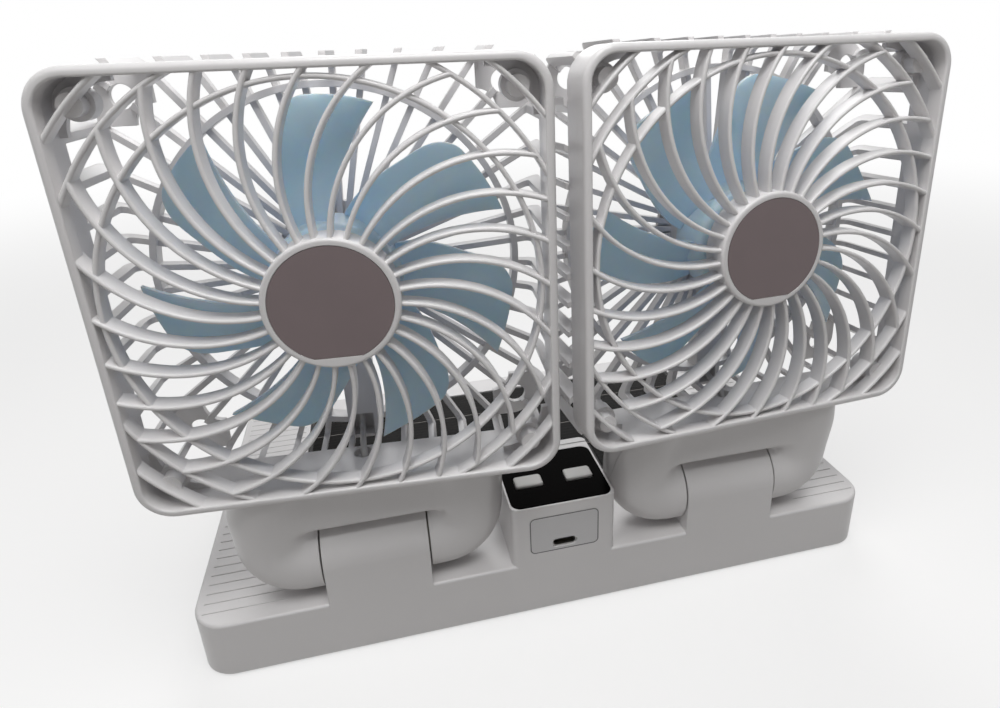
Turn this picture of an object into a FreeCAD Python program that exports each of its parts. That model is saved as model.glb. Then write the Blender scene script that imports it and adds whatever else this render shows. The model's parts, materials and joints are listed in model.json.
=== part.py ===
import FreeCAD
import Part
import math
import os
import re
from types import SimpleNamespace
from FreeCAD import Placement, Rotation, Vector

# Two square fan heads on a shared base with a flat solar panel.
# Millimetres, +X to the right, +Y to the back, +Z up.
# The origin lies on the table, under the middle of the whole outline.
sizes = {
    # base tray
    "base_length": 256,
    "base_depth": 144,
    "base_shift": 6.56,
    "base_top": 22.5,
    "base_corner": 12,
    "base_edge": 1,
    "base_wall": 2.2,
    "deck_thickness": 3.2,
    "cover_thickness": 2,
    "cover_gap": 0.2,
    "foot_height": 1.2,
    "foot_radius": 7,
    "foot_inset": 32,
    "base_boss_radius": 3.6,
    "base_screw_inset": 14,
    "groove_inset": 3,
    "groove_gap": 2,
    "groove_pitch": 4.5,
    "groove_width": 0.5,
    "groove_depth": 0.25,
    # solar panel
    "solar_length": 192,
    "solar_depth": 83,
    "solar_front": 47,
    "solar_gap": 0.2,
    "backing_thickness": 1.2,
    "cell_thickness": 0.6,
    "cell_rows": 4,
    "cell_columns": 3,
    "cell_spacing": 1.2,
    "cell_margin": 2,
    "busbar_width": 0.6,
    "busbar_drop": 0.1,
    "wire_slot_length": 16,
    "wire_slot_width": 5,
    # control block
    "block_width": 38.4,
    "block_depth": 38,
    "block_top": 47,
    "block_wall": 2,
    "block_corner": 2.5,
    "plate_width": 36.8,
    "plate_depth": 31,
    "plate_front": 0.6,
    "plate_corner": 3.5,
    "plate_thickness": 1.6,
    "plate_gap": 0.1,
    "plate_ledge": 2.4,
    "strip_groove": 3.4,
    "button_length": 10.2,
    "button_width": 6.5,
    "button_corner": 1.2,
    "button_spacing": 19,
    "button_front": 15,
    "button_proud": 0.7,
    "button_gap": 0.3,
    "button_flange": 0.8,
    "stem_radius": 1.5,
    "button_travel": 0.6,
    "switch_spare": 0.1,
    "switch_width": 6,
    "switch_height": 3.5,
    "plunger_radius": 1.7,
    "plunger_height": 1,
    "stem_length": 1.4,
    "board_thickness": 1.6,
    "board_gap": 0.3,
    "port_height": 30,
    "port_width": 9,
    "port_tall": 3.26,
    "port_length": 7.3,
    "port_wall": 0.3,
    "port_gap": 0.2,
    "port_setback": 0.6,
    "tongue_width": 6.6,
    "tongue_tall": 0.7,
    "tongue_setback": 1.4,
    "label_width": 25.7,
    "label_tall": 15.6,
    "label_rise": 4.6,
    "label_thickness": 0.4,
    "label_corner": 2,
    # battery
    "battery_length": 100,
    "battery_depth": 48,
    "battery_height": 9,
    "battery_corner": 3,
    "battery_back": 14,
    # hinges
    "head_spacing": 131.1,
    "hinge_height": 37,
    "knuckle_radius": 13.5,
    "knuckle_width": 35.2,
    "pedestal_depth": 18,
    "tube_radius": 6,
    "tube_bore": 4.2,
    "running_gap": 0.05,
    "tube_overlap": 4.4,
    "lead_slot": 10,
    "lead_hole": 3,
    "washer_radius": 9,
    "washer_thickness": 0.5,
    "washer_gap": 0.1,
    "left_tilt": 0.55,
    "right_tilt": 2.37,
    "toe_out": 3.84,
    # yoke
    "yoke_width": 91.6,
    "yoke_radius": 13.5,
    "elbow_radius": 22,
    "yoke_wall": 2,
    "bulkhead": 3,
    "arm_lean": 14.75,
    "arm_top_depth": 8.5,
    "web_low": 15,
    "web_front": 13,
    "web_recess": 1.5,
    "web_back": 2.5,
    "web_round": 3.5,
    "flange_thickness": 2.4,
    "neck_radius": 4.2,
    "neck_bore": 2.4,
    "yoke_boss_radius": 3,
    "yoke_boss_rise": 26,
    "yoke_screw_front": 4.6,
    "yoke_screw_seat": 4.2,
    # head
    "head_size": 125.4,
    "head_rise": 34.1,
    "front_reach": 23,
    "head_corner": 10.5,
    "head_depth": 38,
    "seam_depth": 5,
    "band_depth": 12.5,
    "lip_width": 2.6,
    "lip_round": 1.6,
    "lip_inner_round": 0.6,
    "rear_wall": 2.2,
    # front grille
    "hub_radius": 18.6,
    "hub_proud": 2.2,
    "hub_back": 7,
    "hub_floor": 1.6,
    "hub_wall": 1.9,
    "hub_round": 0.9,
    "badge_radius": 16.6,
    "badge_chord": 0.92,
    "badge_thickness": 0.8,
    "badge_gap": 0.15,
    "rib_count": 28,
    "rib_first": 7.3,
    "rib_bend": 44.3,
    "rib_sweep": 80,
    "rib_thickness": 1.4,
    "rib_depth": 5.6,
    "rib_root": 0.3,
    "rib_hub_front": -1.3,
    "rib_edge_front": 0.7,
    "ring_thickness": 1.4,
    "ring_depth": 4.8,
    "inner_ring": 58.3,
    "middle_ring": 67.9,
    "outer_ring": 76,
    "post_radius": 3,
    "post_front": 4,
    "post_back": 8,
    "post_floor": 1,
    # rear housing
    "gusset_reach": 17,
    "gusset_scoop": 13,
    "gusset_thickness": 2,
    "screw_boss_radius": 4.2,
    "bar_count": 44,
    "bar_thickness": 1.8,
    "bar_proud": 1.2,
    "back_round": 4,
    "back_inner_round": 2,
    "back_thickness": 3.5,
    "back_plate": 2,
    "back_ring": 55.2,
    "back_ring_thickness": 2,
    "back_ring_depth": 5,
    "back_web_scoop": 6,
    "access_radius": 3.4,
    "floor_depth": 24,
    "pod_flange": 20.5,
    "pod_wall": 2.2,
    "pod_front": 27.5,
    "duct_width": 10,
    "duct_front": 31.4,
    "duct_wall": 1.6,
    "duct_cover_thickness": 1.2,
    "lead_exit": 20,
    "lead_window": 8,
    # motor
    "can_radius": 13.9,
    "can_gap": 0.1,
    "can_front": 17.5,
    "can_wall": 1.2,
    "can_end": 3.4,
    "bearing_radius": 3,
    "bearing_length": 2.8,
    "shaft_radius": 1,
    "shaft_front": 12,
    "armature_radius": 8.5,
    "armature_gap": 1.5,
    "motor_screw_spacing": 17,
    "motor_screw_length": 2.6,
    # impeller
    "blade_count": 7,
    "blade_radius": 53,
    "blade_thickness": 1.6,
    "blade_front": 13,
    "blade_back": 24.4,
    "rotor_radius": 19,
    "rotor_wall": 2,
    "rotor_front": 10.5,
    "rotor_back": 25.5,
    "rotor_round": 3,
    "rotor_boss_radius": 3.6,
    "rotor_boss_gap": 0.8,
    "left_blade_angle": 87,
    "right_blade_angle": 23,
    # small screws
    "screw_radius": 1.2,
    "screw_gap": 0.1,
    "screw_head_radius": 2.3,
    "screw_head_height": 1.2,
    "screw_head_gap": 0.2,
    "screw_tip_gap": 0.5,
    # wire
    "lead_radius": 1,
    "lead_bend": 5,
    "lead_drop": 8,
    # how far a cutting block passes the face it cuts
    "cut_over": 1,
}

doc = FreeCAD.newDocument("dual_head_desk_fan")
sheet = doc.addObject("Spreadsheet::Sheet", "Sizes")
for row, (alias, number) in enumerate(sizes.items(), start=1):
    sheet.set(f"A{row}", alias)
    sheet.set(f"B{row}", str(number))
    sheet.setAlias(f"B{row}", alias)
doc.recompute()
size = SimpleNamespace(**{alias: float(sheet.get(alias)) for alias in sizes})
nodes = []


def cell(text):
    """Turn the size names in an arithmetic text into references to the sheet."""
    return re.sub(r"[a-z]\w+", lambda word: "Sizes." + word[0] if word[0] in sizes else word[0], text)


def box(name, x, y, z):
    """A block between pairs of low and high texts."""
    solid = doc.addObject("Part::Box", name)
    for axis, side, (low, high) in zip("xyz", ("Length", "Width", "Height"), (x, y, z)):
        solid.setExpression(side, cell(f"({high}) - ({low})"))
        solid.setExpression(f"Placement.Base.{axis}", cell(low))
    return solid


def middle(text, shift="0"):
    """Low and high texts of a span centred on a shift."""
    return f"{shift} - ({text})/2", f"{shift} + ({text})/2"


turns = {
    "x": Rotation(Vector(0, 1, 0), 90),
    "y": Rotation(Vector(1, 0, 0), -90),
    "z": Rotation(),
}


def cylinder(name, radius, axis, start, length):
    """A cylinder along one axis from a start point, given as texts."""
    solid = doc.addObject("Part::Cylinder", name)
    solid.setExpression("Radius", cell(radius))
    solid.setExpression("Height", cell(length))
    solid.Placement = Placement(Vector(), turns[axis])
    for way, place in zip("xyz", start):
        solid.setExpression(f"Placement.Base.{way}", cell(place))
    return solid


def fuse(name, *solids):
    joined = doc.addObject("Part::MultiFuse", name)
    joined.Shapes = list(solids)
    return joined


def group(name, *solids):
    bundle = doc.addObject("Part::Compound", name)
    bundle.Links = list(solids)
    return bundle


def cut(name, base, *tools):
    rest = doc.addObject("Part::Cut", name)
    rest.Base = base
    rest.Tool = tools[0] if len(tools) == 1 else group(name + "_tools", *tools)
    return rest


def rounded(name, base, radius, pick):
    """Round the edges of a solid that a test picks."""
    doc.recompute()
    result = doc.addObject("Part::Fillet", name)
    result.Base = base
    result.Edges = [(index, radius, radius) for index, edge in enumerate(base.Shape.Edges, 1) if pick(edge)]
    return result


def along(axis):
    """A test for straight edges along one axis."""
    way = {"x": Vector(1, 0, 0), "y": Vector(0, 1, 0), "z": Vector(0, 0, 1)}[axis]
    return lambda edge: (edge.Curve.TypeId == "Part::GeomLine"
                         and abs(edge.tangentAt(edge.FirstParameter).dot(way)) > 0.999)


def at_height(height):
    """A test for edges that lie at one height."""
    return lambda edge: all(abs(vertex.Z - height) < 0.01 for vertex in edge.Vertexes)


def feature(name, shape):
    """A document object for a shape that is made from curves."""
    solid = doc.addObject("Part::Feature", name)
    solid.Shape = shape
    return solid


def node(name, solid, place=None):
    """Name a finished piece and put it in its place."""
    solid.Label = name
    if place is not None:
        solid.Placement = place
    nodes.append(solid)


def cylinders(name, places, radius, axis, length):
    """Equal cylinders at several start points."""
    return [cylinder(f"{name}_{index}", radius, axis, place, length) for index, place in enumerate(places)]


# Base tray
front = "base_shift - base_depth/2"
deck_under = "base_top - deck_thickness"
cover_top = "foot_height + cover_thickness"
hinge_y = f"{front} + knuckle_radius"
sides = {"left": -1, "right": 1}
corners = [(across, along_depth) for across in (-1, 1) for along_depth in (-1, 1)]


def corner_places(inset, z):
    """The four corner points of the base at an inset from its sides."""
    return [(f"{across}*(base_length/2 - {inset})", f"base_shift + {back}*(base_depth/2 - {inset})", z)
            for across, back in corners]


def make_tray():
    block = box("tray_block", middle("base_length"), middle("base_depth", "base_shift"),
                ("foot_height", "base_top"))
    upright = rounded("tray_sides", block, size.base_corner, along("z"))
    outside = rounded("tray_outside", upright, size.base_edge, at_height(size.base_top))
    inner = box("tray_inner", middle("base_length - 2*base_wall"),
                middle("base_depth - 2*base_wall", "base_shift"), ("0", deck_under))
    hollow = rounded("tray_hollow", inner, size.base_corner - size.base_wall, along("z"))
    return cut("tray", outside, hollow)


def make_knuckle(name, side):
    """The fixed hinge barrel and the pedestal that stands flush with the front."""
    centre = f"{side}*head_spacing/2"
    start = f"{centre} - knuckle_width/2"
    barrel = cylinder(f"{name}_barrel", "knuckle_radius", "x", (start, hinge_y, "hinge_height"),
                      "knuckle_width")
    pedestal = box(f"{name}_pedestal", middle("knuckle_width", centre), (front, f"{front} + pedestal_depth"),
                   (deck_under, "hinge_height"))
    return [barrel, pedestal]


def make_knuckle_cuts(name, side):
    """The running bore of a knuckle and the wire hole below it."""
    centre = f"{side}*head_spacing/2"
    bore = cylinder(f"{name}_bore", "tube_radius + running_gap", "x",
                    (f"{centre} - knuckle_width", hinge_y, "hinge_height"), "2*knuckle_width")
    wire_hole = cylinder(f"{name}_wire_hole", "lead_hole", "z", (centre, hinge_y, f"{deck_under} - cut_over"),
                         "hinge_height - base_top + deck_thickness + cut_over")
    return [bore, wire_hole]


def make_block():
    raw = box("block_raw", middle("block_width"), (front, f"{front} + block_depth"),
              (deck_under, "block_top"))
    return rounded("block_outside", raw, size.block_corner, along("z"))


plate_floor = "block_top - plate_thickness"
plate_start = f"{front} + plate_front"
plate_end = f"{front} + plate_front + plate_depth"


def make_block_cuts():
    """The hollow, the plate's seat and the inlet's way through the front wall."""
    hollow = box("block_hollow", middle("block_width - 2*block_wall"),
                 (f"{front} + block_wall", f"{front} + block_depth - block_wall"),
                 (f"{deck_under} - cut_over", f"{plate_floor} - block_wall"))
    seat_raw = box("plate_seat_raw", middle("plate_width + 2*plate_gap"),
                   (f"{plate_start} - plate_gap", f"{plate_end} + plate_gap"),
                   (plate_floor, "block_top + cut_over"))
    seat = rounded("plate_seat", seat_raw, size.plate_corner + size.plate_gap, along("z"))
    window = box("plate_window", middle("plate_width - 2*plate_ledge"),
                 (f"{plate_start} + plate_ledge", f"{plate_end} - plate_ledge"),
                 (f"{plate_floor} - block_wall - cut_over", "block_top"))
    strip = box("strip_groove_cut", middle("block_width + 2*cut_over"),
                (f"{front} + block_depth - strip_groove - groove_width/2",
                 f"{front} + block_depth - strip_groove + groove_width/2"),
                ("block_top - groove_depth", "block_top + cut_over"))
    port = port_slot("port_way", "port_gap", f"{front} - cut_over", f"{front} + block_wall + cut_over")
    label_raw = box("label_seat_raw", middle("label_width"),
                    (f"{front} - cut_over", f"{front} + label_thickness"),
                    middle("label_tall", "port_height + label_rise"))
    label = rounded("label_seat", label_raw, size.label_corner, along("y"))
    return [hollow, seat, window, strip, port, label]


slot_round_share = 0.48


def port_slot(name, gap, start, end):
    """A slot with round ends, for the inlet and the ways through to it."""
    raw = box(name + "_raw", middle(f"port_width + 2*({gap})"), (start, end),
              middle(f"port_tall + 2*({gap})", "port_height"))
    doc.recompute()
    return rounded(name, raw, float(raw.Height) * slot_round_share, along("y"))


def make_grooves():
    """Fine grip lines across both ends of the deck."""
    start = size.solar_length / 2 + size.groove_gap
    end = size.base_length / 2 - size.groove_inset
    reach = size.base_depth / 2 - size.base_corner / 2
    count = int(2 * reach / size.groove_pitch)
    lines = []
    for side in sides.values():
        for index in range(count + 1):
            y = size.base_shift + (index - count / 2) * size.groove_pitch - size.groove_width / 2
            corner = Vector(min(side * start, side * end), y, size.base_top - size.groove_depth)
            line_height = size.groove_depth + size.cut_over
            lines.append(Part.makeBox(end - start, size.groove_width, line_height, corner))
    return feature("deck_grooves", Part.makeCompound(lines))


def make_panel_cuts():
    recess = box("solar_recess", middle("solar_length + 2*solar_gap"),
                 (f"{front} + solar_front - solar_gap", f"{front} + solar_front + solar_depth + solar_gap"),
                 ("base_top - backing_thickness - cell_thickness", "base_top + cut_over"))
    slot = box("solar_wire_slot", middle("wire_slot_length"),
               (f"{front} + solar_front + wire_slot_width", f"{front} + solar_front + 2*wire_slot_width"),
               (f"{deck_under} - cut_over", "base_top"))
    return [recess, slot]


def make_upper_shell():
    solids = [make_tray(), make_block()]
    cuts = make_block_cuts() + make_panel_cuts() + [make_grooves()]
    for name, side in sides.items():
        solids += make_knuckle(f"{name}_knuckle", side)
        cuts += make_knuckle_cuts(f"{name}_knuckle", side)
    boss_length = "base_top - deck_thickness - foot_height - cover_thickness"
    places = corner_places("base_screw_inset", cover_top)
    solids += cylinders("base_boss", places, "base_boss_radius", "z", boss_length)
    cuts += cylinders("base_pilot", places, "screw_radius + running_gap", "z", boss_length)
    node("base_upper_shell", cut("upper_shell", fuse("upper_shell_solid", *solids), *cuts))


def make_lower_cover():
    raw = box("cover_raw", middle("base_length - 2*base_wall - 2*cover_gap"),
              middle("base_depth - 2*base_wall - 2*cover_gap", "base_shift"), ("foot_height", cover_top))
    plate = rounded("cover_plate", raw, size.base_corner - size.base_wall - size.cover_gap, along("z"))
    low = corner_places("base_screw_inset", "foot_height")
    holes = cylinders("cover_hole", low, "screw_radius + screw_gap", "z", "cover_thickness")
    seats = cylinders("cover_seat", low, "screw_head_radius + screw_head_gap", "z", "screw_head_height")
    node("base_lower_cover", cut("lower_cover", plate, *holes, *seats))
    shank_places = corner_places("base_screw_inset", "foot_height + screw_head_height")
    shank_length = f"{deck_under} - foot_height - screw_head_height - cover_thickness"
    shanks = cylinders("base_shank", shank_places, "screw_radius", "z", shank_length)
    heads = cylinders("base_head", low, "screw_head_radius", "z", "screw_head_height")
    node("base_screws", group("base_screw_set", *[fuse(f"base_screw_{index}", *pair)
                                                  for index, pair in enumerate(zip(shanks, heads))]))
    node("base_feet", group("feet", *cylinders("foot", corner_places("foot_inset", "0"), "foot_radius", "z",
                                                 "foot_height")))


# Solar panel
def make_solar_panel():
    backing_top = "base_top - cell_thickness"
    depth_span = (f"{front} + solar_front", f"{front} + solar_front + solar_depth")
    node("solar_backing", box("backing", middle("solar_length"), depth_span,
                              (f"{backing_top} - backing_thickness", backing_top)))
    cell_length = "(solar_length - 2*cell_margin - (cell_columns - 1)*cell_spacing)/cell_columns"
    cell_depth = "(solar_depth - 2*cell_margin - (cell_rows - 1)*cell_spacing)/cell_rows"
    cells = []
    for row in range(int(size.cell_rows)):
        for column in range(int(size.cell_columns)):
            x = f"-solar_length/2 + cell_margin + {column}*({cell_length} + cell_spacing)"
            y = f"{front} + solar_front + cell_margin + {row}*({cell_depth} + cell_spacing)"
            cells.append(box(f"cell_{row}_{column}", (x, f"{x} + {cell_length}"), (y, f"{y} + {cell_depth}"),
                             (backing_top, "base_top")))
    node("solar_cells", group("cells", *cells))
    bars = []
    for row in range(1, int(size.cell_rows)):
        y = f"{front} + solar_front + cell_margin + {row}*({cell_depth} + cell_spacing) - cell_spacing/2"
        bars.append(box(f"busbar_{row}", middle("solar_length - 2*cell_margin"), middle("busbar_width", y),
                        (backing_top, "base_top - busbar_drop")))
    node("solar_busbars", group("busbars", *bars))


# Control block's plate, buttons, boards and inlet
button_y = f"{front} + button_front"
flange_low = f"{plate_floor} - button_flange"
stem_low = f"{flange_low} - stem_length"
plunger_top = f"{stem_low} - button_travel - switch_spare"
board_top = f"{plunger_top} - plunger_height - switch_height"


def make_controls():
    raw = box("plate_raw", middle("plate_width"), (plate_start, plate_end), (plate_floor, "block_top"))
    plate = rounded("plate", raw, size.plate_corner, along("z"))
    holes = []
    switches = []
    for name, side in sides.items():
        x = f"{side}*button_spacing/2"
        holes.append(box(f"{name}_button_hole", middle("button_length + 2*button_gap", x),
                         middle("button_width + 2*button_gap", button_y),
                         ("base_top", "block_top + cut_over")))
        cap_raw = box(f"{name}_cap_raw", middle("button_length", x), middle("button_width", button_y),
                      (plate_floor, "block_top + button_proud"))
        cap = rounded(f"{name}_cap", cap_raw, size.button_corner, along("z"))
        flange = box(f"{name}_flange", middle("button_length + 4*button_gap", x),
                     middle("button_width + 4*button_gap", button_y), (flange_low, plate_floor))
        stem = cylinder(f"{name}_stem", "stem_radius", "z", (x, button_y, stem_low), "stem_length")
        node(f"button_{name}", fuse(f"{name}_button", cap, flange, stem))
        body = box(f"{name}_switch_body", middle("switch_width", x), middle("switch_width", button_y),
                   (board_top, f"{board_top} + switch_height"))
        plunger = cylinder(f"{name}_plunger", "plunger_radius", "z",
                           (x, button_y, f"{board_top} + switch_height"), "plunger_height")
        switches.append(fuse(f"{name}_switch", body, plunger))
    node("control_panel", cut("plate_with_holes", plate, *holes))
    node("tact_switches", group("switches", *switches))
    inside_x = middle("block_width - 2*block_wall - 2*board_gap")
    inside_y = (f"{front} + block_wall + board_gap", f"{front} + block_depth - block_wall - board_gap")
    node("control_board", box("upper_board", inside_x, inside_y,
                              (f"{board_top} - board_thickness", board_top)))
    port_low = "port_height - port_tall/2"
    node("charge_board", box("lower_board", inside_x, inside_y, (f"{port_low} - board_thickness", port_low)))


def make_port():
    start = f"{front} + port_setback"
    end = f"{front} + port_setback + port_length"
    outside = port_slot("port_outside", "0", start, end)
    inside = port_slot("port_inside", "-port_wall", f"{start} - cut_over", f"{end} - port_wall")
    node("usb_c_shell", cut("port_shell", outside, inside))
    tongue = box("port_tongue", middle("tongue_width"), (f"{start} + tongue_setback", f"{end} - port_wall"),
                 middle("tongue_tall", "port_height"))
    node("usb_c_tongue", tongue)
    label_raw = box("label_raw", middle("label_width"), (front, f"{front} + label_thickness"),
                    middle("label_tall", "port_height + label_rise"))
    label = rounded("label", label_raw, size.label_corner, along("y"))
    way = port_slot("label_way", "port_gap", f"{front} - cut_over",
                    f"{front} + label_thickness + cut_over")
    node("port_label", cut("label_with_slot", label, way))


def make_battery():
    raw = box("battery_raw", middle("battery_length"), middle("battery_depth", "base_shift + battery_back"),
              (cover_top, f"{cover_top} + battery_height"))
    node("battery_pack", rounded("battery", raw, size.battery_corner, along("x")))


# Heads, modelled once about the hinge: +X across, +Y to the back, +Z up from the hinge axis
depth_axis = Vector(0, 1, 0)
across_axis = Vector(1, 0, 0)
half_head = size.head_size / 2
head_middle = size.head_rise + half_head
can_back = size.head_depth - size.back_plate
pod_radius = size.can_radius + size.can_gap + size.pod_wall
post_reach = size.outer_ring / math.sqrt(2)
post_places = [(across * post_reach, up * post_reach) for across, up in corners]


def at(u, h, d):
    """A point across and up from the fan axis, at a depth behind the front plane."""
    return Vector(u, d - size.front_reach, head_middle + h)


def disc(radius, near, far, u=0, h=0):
    """A cylinder along the fan axis."""
    return Part.makeCylinder(radius, far - near, at(u, h, near), depth_axis)


def slab(low_u, high_u, low_h, high_h, near, far):
    return Part.makeBox(high_u - low_u, far - near, high_h - low_h, at(low_u, low_h, near))


def square(half, corner, near, far):
    """A square prism with round corners."""
    raw = slab(-half, half, -half, half, near, far)
    return raw.makeFillet(corner, [edge for edge in raw.Edges if along("y")(edge)])


def edges_at_depth(shape, y):
    """The edges of a shape that lie in one plane across the fan axis."""
    return [edge for edge in shape.Edges if all(abs(vertex.Y - y) < 0.01 for vertex in edge.Vertexes)]


def tube(radius, thickness, near, far):
    bore = disc(radius - thickness / 2, near - size.cut_over, far + size.cut_over)
    return disc(radius + thickness / 2, near, far).cut(bore)


def round_front_profile(point, side, back, thickness, depth):
    """A rib's section: a round front, straight flanks and a flat back."""
    half = thickness / 2
    left = point - side * half + back * half
    right = point + side * half + back * half
    left_back = point - side * half + back * depth
    right_back = point + side * half + back * depth
    return Part.Wire([
        Part.Arc(left, point, right).toShape(),
        Part.makeLine(right, right_back),
        Part.makeLine(right_back, left_back),
        Part.makeLine(left_back, left),
    ])


# where a rib's middle line is fixed, as shares of its sweep, from just inside its root to its end
rib_stations = (-0.02, 0.49, 1)


def curved_rib(start, bend, sweep, near_start, near_end, thickness, depth):
    """A rib that leaves the hub radially and bends to one side on its way out."""
    ends = []
    for share in rib_stations:
        turn = math.radians(sweep) * share
        near = near_start + (near_end - near_start) * max(share, 0)
        ends.append(at(start + bend * math.sin(turn), -bend * (1 - math.cos(turn)), near))
    path = Part.Arc(*ends).toShape()
    ahead = path.tangentAt(path.FirstParameter)
    side = ahead.cross(depth_axis).normalize()
    back = side.cross(ahead).normalize()
    profile = round_front_profile(ends[0], side, back, thickness, depth)
    return Part.Wire([path]).makePipeShell([profile], True, False)


def around(shape, degrees):
    """A copy turned about the fan axis, counted against the clock from the front."""
    copy = shape.copy()
    copy.rotate(at(0, 0, 0), depth_axis, -degrees)
    return copy


def ring(radius, near):
    """A grille ring with a round front."""
    profile = round_front_profile(at(radius, 0, near), across_axis, depth_axis, size.ring_thickness,
                                  size.ring_depth)
    return Part.Face(profile).revolve(at(0, 0, 0), depth_axis, 360)


def make_front_grille():
    block = square(half_head, size.head_corner, 0, size.seam_depth)
    front_y = at(0, 0, 0).y
    block = block.makeFillet(size.lip_round, edges_at_depth(block, front_y))
    inner_half = half_head - size.lip_width
    inner_corner = size.head_corner - size.lip_width
    frame = block.cut(square(inner_half, inner_corner, -size.cut_over, size.seam_depth + size.cut_over))
    rim = [edge for edge in edges_at_depth(frame, front_y)
           if all(max(abs(vertex.X), abs(vertex.Z - head_middle)) < inner_half + 0.01
                  for vertex in edge.Vertexes)]
    frame = frame.makeFillet(size.lip_inner_round, rim)
    inside = square(inner_half + size.rib_root, inner_corner, -size.hub_proud, size.head_depth)
    rib_limit = inside.common(disc(size.middle_ring, -size.hub_proud, size.head_depth))
    rib = curved_rib(size.hub_radius, size.rib_bend, size.rib_sweep, size.rib_hub_front,
                     size.rib_edge_front, size.rib_thickness, size.rib_depth)
    pitch = 360 / size.rib_count
    ribs = [around(rib, size.rib_first + index * pitch).common(rib_limit)
            for index in range(int(size.rib_count))]
    rings = [ring(radius, size.rib_edge_front).common(inside)
             for radius in (size.inner_ring, size.middle_ring, size.outer_ring)]
    posts = [disc(size.post_radius, size.post_front, size.post_back, *place) for place in post_places]
    grille = frame.multiFuse(ribs + rings + posts + [make_hub_cup()])
    pilots = [disc(size.screw_radius + size.running_gap, size.post_front + size.post_floor,
                   size.post_back + size.cut_over, *place)
              for place in post_places]
    return grille.cut(Part.makeCompound(pilots))


def flat_disc(radius, near, far):
    """A disc with a flat chord at its foot."""
    below = slab(-radius, radius, -2 * radius, -size.badge_chord * radius,
                 near - size.cut_over, far + size.cut_over)
    return disc(radius, near, far).cut(below)


def make_hub_cup():
    cup = disc(size.hub_radius, -size.hub_proud, size.hub_back)
    front_y = at(0, 0, -size.hub_proud).y
    cup = cup.makeFillet(size.hub_round, edges_at_depth(cup, front_y))
    seat_floor = -size.hub_proud + size.badge_thickness
    cup = cup.cut(flat_disc(size.badge_radius + size.badge_gap, -size.hub_proud - size.cut_over, seat_floor))
    return cup.cut(disc(size.hub_radius - size.hub_wall, seat_floor + size.hub_floor,
                        size.hub_back + size.cut_over))


def make_badge():
    return flat_disc(size.badge_radius, -size.hub_proud, -size.hub_proud + size.badge_thickness)


def outer_cage():
    """The block that the cage's bars are cut from, with a round back edge and a flat floor."""
    block = square(half_head + size.bar_proud, size.head_corner + size.bar_proud, size.band_depth,
                   size.head_depth)
    block = block.makeFillet(size.back_round, edges_at_depth(block, at(0, 0, size.head_depth).y))
    return block.cut(slab(-size.head_size, size.head_size, -size.head_size, -half_head, 0,
                          size.head_depth + size.cut_over))


def make_cage_bars(block):
    """Bars in planes through the fan axis: they cross the back, bend over its edge and line the walls."""
    inner_back = size.head_depth - size.back_thickness
    hollow = square(half_head - size.rear_wall, size.head_corner - size.rear_wall,
                    size.band_depth - size.cut_over, inner_back)
    hollow = hollow.makeFillet(size.back_inner_round, edges_at_depth(hollow, at(0, 0, inner_back).y))
    shell = block.cut(hollow)
    plane = slab(pod_radius - size.pod_wall / 2, size.head_size, -size.bar_thickness / 2,
                 size.bar_thickness / 2, 0, size.head_depth + size.cut_over)
    pitch = 360 / size.bar_count
    return [shell.common(around(plane, (index + 0.5) * pitch)) for index in range(int(size.bar_count))]


def corner_webs(scoop, near, far):
    """A plate in each corner with a hollowed inner edge."""
    inside = square(half_head - size.rear_wall / 2, size.head_corner - size.rear_wall / 2, near, far)
    reach = half_head - size.gusset_reach
    upright = slab(-reach, reach, -half_head, half_head, near, far)
    level = slab(-half_head, half_head, -reach, reach, near, far)
    scoops = [disc(scoop, near, far, across * reach, up * reach) for across, up in corners]
    return inside.cut(upright).cut(level).cut(Part.makeCompound(scoops))


def make_rear_housing():
    block = outer_cage()
    band = square(half_head, size.head_corner, size.seam_depth, size.band_depth)
    band = band.cut(square(half_head - size.rear_wall, size.head_corner - size.rear_wall,
                           size.seam_depth - size.cut_over, size.band_depth + size.cut_over))
    floor_half = half_head - size.head_corner
    floor = slab(-floor_half, floor_half, -half_head, -half_head + size.rear_wall, size.seam_depth,
                 size.floor_depth)
    gussets = corner_webs(size.gusset_scoop, size.band_depth - size.gusset_thickness, size.band_depth)
    back_webs = corner_webs(size.back_web_scoop, can_back, size.head_depth).common(block)
    bosses = [disc(size.screw_boss_radius, size.post_back, size.band_depth, *place) for place in post_places]
    back_ring = tube(size.back_ring, size.back_ring_thickness, size.head_depth - size.back_ring_depth,
                     size.head_depth)
    pod = disc(pod_radius, size.pod_front, size.head_depth)
    pod_flange = disc(size.pod_flange, can_back, size.head_depth)
    duct_back = size.head_depth - size.duct_cover_thickness
    duct = slab(-size.duct_width / 2, size.duct_width / 2, -half_head + size.rear_wall / 2,
                -pod_radius + size.pod_wall, size.duct_front, duct_back)
    housing = band.multiFuse(make_cage_bars(block) + bosses
                             + [floor, gussets, back_webs, back_ring, pod, pod_flange, duct])
    return housing.cut(Part.makeCompound(make_housing_cuts(duct_back)))


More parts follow.
